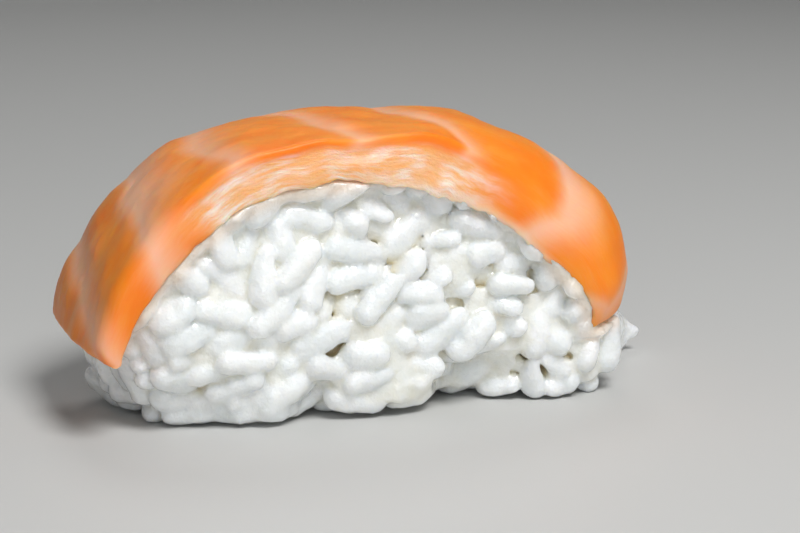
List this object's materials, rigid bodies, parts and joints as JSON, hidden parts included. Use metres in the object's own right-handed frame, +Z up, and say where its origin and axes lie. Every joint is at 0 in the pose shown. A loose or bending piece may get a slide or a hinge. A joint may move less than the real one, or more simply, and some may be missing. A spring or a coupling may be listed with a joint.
{
  "type": "salmon nigiri",
  "caption": "Salmon nigiri: a hand-pressed mound of sushi rice with a slice of raw salmon draped over its top and down both ends.",
  "frame": {"origin": "middle of the underside of the whole piece's box, on the surface that it rests on", "axes": "+X along the piece, towards the end where the slice folds down and the rice has a foot; +Y across it, from the front to the back; +Z up"},
  "size_m": [0.067, 0.0258, 0.0303],
  "materials": {
    "rice": "moist translucent white grains",
    "salmon": "moist raw salmon, orange with pale bands of fat"
  },
  "bodies": {
    "root": {"rice_mound": "rice", "salmon_slice": "salmon"}
  },
  "joints": []
}
